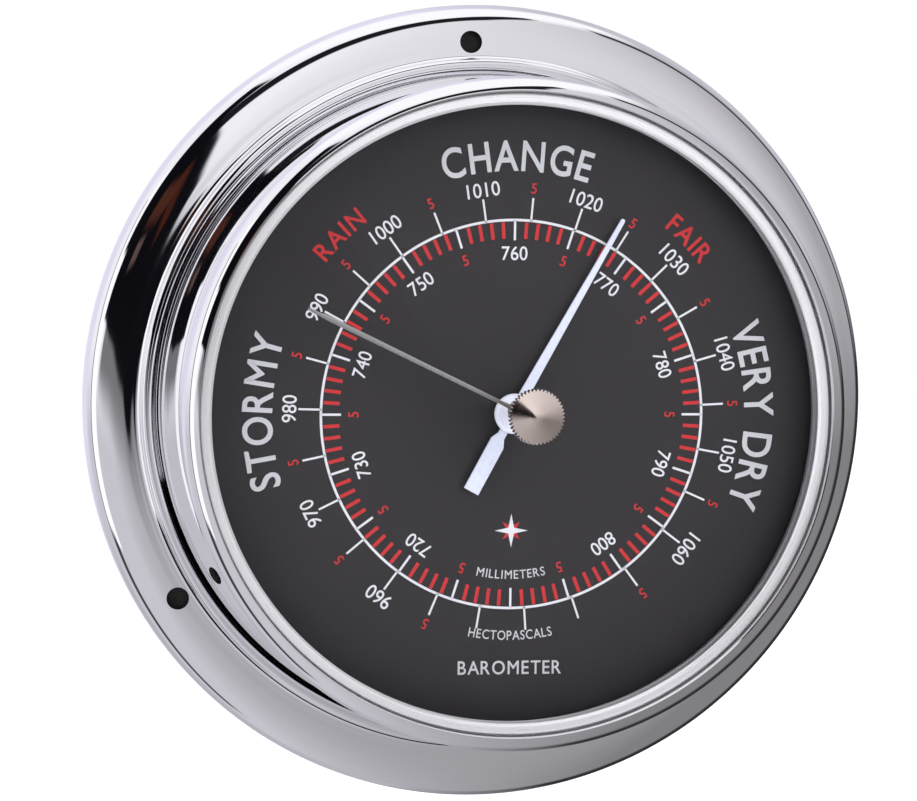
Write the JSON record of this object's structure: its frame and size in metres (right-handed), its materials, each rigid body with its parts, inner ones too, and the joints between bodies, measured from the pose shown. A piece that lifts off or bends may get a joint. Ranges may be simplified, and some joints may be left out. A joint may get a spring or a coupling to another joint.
{
  "type": "aneroid barometer",
  "caption": "Round wall barometer: spun chrome case with a screw flange, domed glass, dark dial, pointer, set hand and a geared aneroid movement.",
  "frame": {"origin": "centre of the case's rear plane, on the back cover, where the barometer lies against the wall", "axes": "+Z towards the dial's top, -Y out of the dial towards the viewer, +X to the viewer's right"},
  "size_m": [0.15, 0.0571, 0.15],
  "materials": {
    "chrome": "mirror-bright chrome plate on spun brass",
    "satin_nickel": "satin, turned",
    "nickel": "fine-turned nickel plate, slightly warm",
    "glass": "clear, polished",
    "clear_rubber": "translucent, matt",
    "dial_black": "matt, printed in white and red",
    "cover_black": "fine moulded grain",
    "black_foam": "closed-cell foam, matt",
    "white_enamel": "smooth white enamel",
    "silver": "satin",
    "steel": "machined",
    "spring_steel": "blued",
    "brass": "machined, lightly lacquered"
  },
  "bodies": {
    "case": {"case_flange": "chrome", "flange_gasket": "black_foam", "case_drum": "chrome", "bezel_ring": "chrome", "lip_ring": "satin_nickel", "glass_lens": "glass", "glass_gasket": "clear_rubber", "dial_spacer_ring": "satin_nickel", "dial_seat_ring": "steel", "dial_plate": "dial_black", "back_cover": "cover_black", "back_screw_1": "steel", "back_screw_2": "steel", "back_screw_3": "steel", "spindle_bush": "nickel", "bush_nut": "brass", "base_plate": "brass", "bridge_plate": "brass", "pillar_1": "brass", "pillar_2": "brass", "pillar_3": "brass", "bridge_screw_1": "steel", "bridge_screw_2": "steel", "bridge_screw_3": "steel", "arbor_cock": "brass", "cock_post_1": "brass", "cock_post_2": "brass", "capsule_back": "nickel", "main_spring": "spring_steel", "spring_screw_1": "steel", "spring_screw_2": "steel", "shaft_cheek_left": "brass", "shaft_cheek_right": "brass", "hairspring": "spring_steel", "hairspring_stud": "brass"},
    "set_hand_arbor": {"set_knob": "nickel", "knob_collar": "nickel", "set_spindle": "brass", "set_hand": "silver", "set_hand_collet": "brass"},
    "pointer_arbor_body": {"pointer_arbor": "steel", "pinion": "steel", "hairspring_collet": "brass", "pointer_hand": "white_enamel", "pointer_hub": "white_enamel"},
    "sector": {"sector_gear": "brass", "sector_arbor": "steel", "sector_weight": "brass"},
    "rocker": {"rocking_shaft": "steel", "drive_arm": "steel", "lift_arm": "steel"},
    "capsule_nose": {"capsule_front": "nickel", "capsule_post": "steel"},
    "zero_adjuster": {"zero_screw": "brass"}
  },
  "joints": [
    {"name": "sector_turn", "type": "hinge", "parent": "case", "child": "sector", "pos_m": [0, -0.027, -0.027], "axis": [0, 1, 0], "range_deg": [-16.4, 26.7]},
    {"name": "pointer_turn", "type": "hinge", "parent": "case", "child": "pointer_arbor_body", "pos_m": [0, -0.03, 0], "axis": [0, 1, 0], "range_deg": [-214, 131.6]},
    {"name": "rocker_turn", "type": "hinge", "parent": "case", "child": "rocker", "pos_m": [0, -0.017, -0.027], "axis": [1, 0, 0], "range_deg": [-10.46, 17]},
    {"name": "capsule_travel", "type": "slide", "parent": "case", "child": "capsule_nose", "axis": [0, 1, 0], "range_m": [-0.00148, 0.00091]},
    {"name": "set_knob_turn", "type": "hinge", "parent": "case", "child": "set_hand_arbor", "pos_m": [0, -0.05, 0.0007], "axis": [0, 1, 0], "continuous": true},
    {"name": "zero_screw_turn", "type": "hinge", "parent": "case", "child": "zero_adjuster", "pos_m": [-0.012, -0.002, -0.022], "axis": [0, 1, 0], "range_deg": [-540, 540]}
  ],
  "couplings": [
    {"joint": "pointer_turn", "follows": "sector_turn", "ratio": -8},
    {"joint": "rocker_turn", "follows": "sector_turn", "ratio": 0.63415},
    {"joint": "capsule_travel", "follows": "sector_turn", "m_per_rad": -0.0031707}
  ]
}
